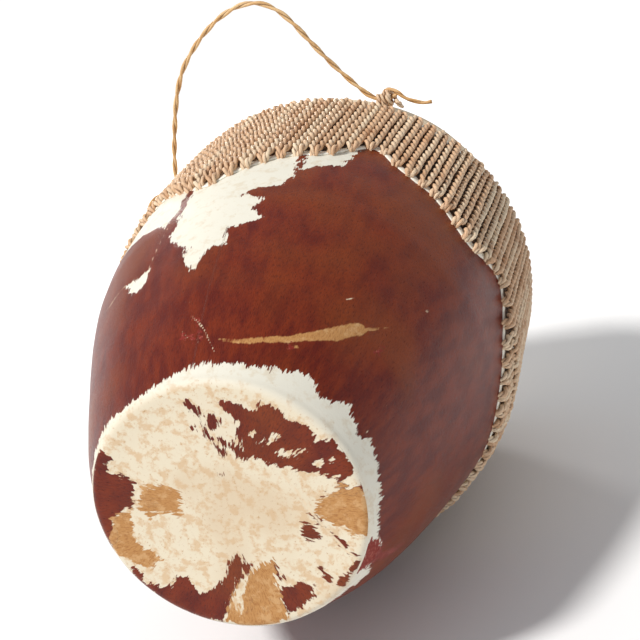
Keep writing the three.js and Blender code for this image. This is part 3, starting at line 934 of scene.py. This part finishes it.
def make_cord(material):
    route = np.array(CORD_ROUTE_MM) * MM
    line, reach = smooth_line(on_loop(route[:, 0], route[:, 1]), RING_STEP)
    ropes = Ropes(sides=16)
    radius = CORD / 2 * (1 + 0.04 * wave_noise(reach / 0.02, 71))
    ends = smooth_step(0, 4 * MM, reach) * smooth_step(0, 4 * MM, reach[-1] - reach)
    ropes.add(line, reach, [0, 1, 0], radius * (0.75 + 0.25 * ends), CORD_TURN, 0.6, 0.05, depth=0.72,
              seed=301, rough=0.035)
    cord = ropes.build("handle_rope", material)
    finish_piece(cord, "handle_cord", body="handle")


def make_knot(name, node, middle, rng, material):
    """Turns of thong that bind one foot of the loop, with both ends passed down through the skin."""
    ropes = Ropes()
    wrap = [
        (middle + (t - 1.25) * KNOT_PITCH, KNOT_RING * math.cos(FULL_TURN * t),
        KNOT_RING * math.sin(FULL_TURN * t))
        for t in np.linspace(-0.15, 2.65, 90)
    ]
    start = [(wrap[0][0] - 2 * MM, -10 * MM, 1 * MM), (wrap[0][0] - 1 * MM, -4 * MM, -3.5 * MM)]
    end = [(wrap[-1][0] + 1 * MM, -4.5 * MM, -4 * MM), (wrap[-1][0] + 2 * MM, -10 * MM, -1 * MM)]
    route = np.array([*start, *wrap[6:-6], *end])
    line, reach = smooth_line(on_loop(route[:, 0], route[:, 1], route[:, 2]), RING_STEP)
    along = (line - np.array(LEFT_FOOT)) @ np.array(FOOT_AXIS)
    out = unit(line - on_loop(np.clip(along, middle - 9 * MM, middle + 9 * MM), 0))
    thick = KNOT_THONG / 2 * (1 + 0.06 * wave_noise(reach / 0.01, int(rng.integers(1000))))
    ropes.add(line, reach, out, thick, 13 * MM, rng.uniform(0, FULL_TURN), 0.10,
              seed=int(rng.integers(1000)))
    knot = ropes.build(name, material)
    finish_piece(knot, node)


def make_tie(name, middle, route, material):
    """A smooth thong that hitches the foot of the loop to the head's skirt."""
    route = np.array(route) * MM
    line, reach = smooth_line(on_loop(middle + route[:, 0], route[:, 1], route[:, 2]), RING_STEP)
    ropes = Ropes()
    thick = TIE_THONG / 2 * (1 + 0.08 * wave_noise(reach / 0.008, 55))
    ropes.add(line, reach, [0, 0.3, 1], thick, 30 * MM, 0.3, -0.05, depth=0.35, seed=411)
    tie = ropes.build(name, material)
    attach(tie, "root")


# ---------------------------------------------------------------- studio

def make_floor(material):
    size = 14
    floor = add_mesh("floor", [(-size, -size, 0), (size, -size, 0), (size, size, 0), (-size, size, 0)],
                     [[0, 1, 2, 3]], material, smooth=False)


def make_light(name, kind, place, power, size, color=(1, 1, 1)):
    """A light that points at the drum. size is a sun's angle in degrees, or a lamp's width in metres."""
    data = bpy.data.lights.new(name, kind)
    data.energy = power
    data.color = color
    if kind == "SUN":
        data.angle = math.radians(size)
    else:
        data.shape = "DISK"
        data.size = size
    light = bpy.data.objects.new(name, data)
    light.location = place
    light.rotation_euler = (CAMERA_AIM - Vector(place)).to_track_quat("-Z", "Y").to_euler()
    bpy.context.scene.collection.objects.link(light)


SHEEN_ANGLE = math.radians(-10)
SHEEN_STATION = 130 * MM


def mirrored(angle, station, distance):
    """Where a light has to stand for the camera to see it shine at this spot on the hide."""
    spot = Vector(on_drum(angle, station, hide_radius(angle, station)))
    normal = Vector((math.sin(angle), 0, math.cos(angle)))
    view = (bpy.context.scene.camera.location - spot).normalized()
    return spot + (2 * normal.dot(view) * normal - view) * distance


def make_studio():
    make_light("key", "SUN", (-0.85, -0.80, 1.75), 3.1, 9, (1.0, 0.98, 0.95))
    make_light("sheen", "AREA", mirrored(SHEEN_ANGLE, SHEEN_STATION, 1.5), 5, 0.22)
    world = bpy.data.worlds.new("studio")
    world.use_nodes = True
    world.node_tree.nodes["Background"].inputs["Color"].default_value = (0.95, 0.97, 1.0, 1)
    world.node_tree.nodes["Background"].inputs["Strength"].default_value = 0.46
    bpy.context.scene.world = world
    bpy.context.scene.view_settings.view_transform = "Standard"


# ---------------------------------------------------------------- assembly

make_camera()
make_studio()
make_floor(floor_material())

# the last colour of each thong look is the painted shade in the grooves between the plies
rope_look = thong_material("handle_thong", (0.84, 0.60, 0.32), (0.62, 0.34, 0.12), (0.42, 0.20, 0.06),
                           (0.18, 0.07, 0.02))
thong_look = thong_material("twisted_thong", (0.86, 0.70, 0.50), (0.70, 0.45, 0.27), (0.44, 0.20, 0.08),
                            (0.15, 0.055, 0.02))
make_cord(rope_look)

finish_piece(make_hide(hide_material()), "base_hide")
finish_piece(make_head(head_material()), "playing_head")
wood = frame["nodes"]["wood_shell"]
wood.data.materials.clear()
wood.data.materials.append(wood_material())

make_lacing(thong_look)
strip_look = strip_material()
hide_hem = make_strip("hide_hem_band", lambda angle: hide_edge(angle) - STRIP_BELOW_HIDE_EDGE,
                      hide_surface, strip_look, 31)
finish_piece(hide_hem, "hide_hem_strip")
head_hem = make_strip("head_hem_band", lambda angle: np.full_like(angle, HEAD_EDGE + STRIP_ABOVE_HEAD_EDGE),
                      head_radius, strip_look, 41)
finish_piece(head_hem, "head_hem_strip")

knot_rng = np.random.default_rng(9)
make_knot("handle_knot_left_thong", "handle_knot_left", LEFT_KNOT, knot_rng, thong_look)
make_knot("handle_knot_right_thong", "handle_knot_right", RIGHT_KNOT, knot_rng, thong_look)
make_tie("handle_tie_left", LEFT_KNOT, LEFT_TIE, rope_look)
make_tie("handle_tie_right", RIGHT_KNOT, RIGHT_TIE, rope_look)
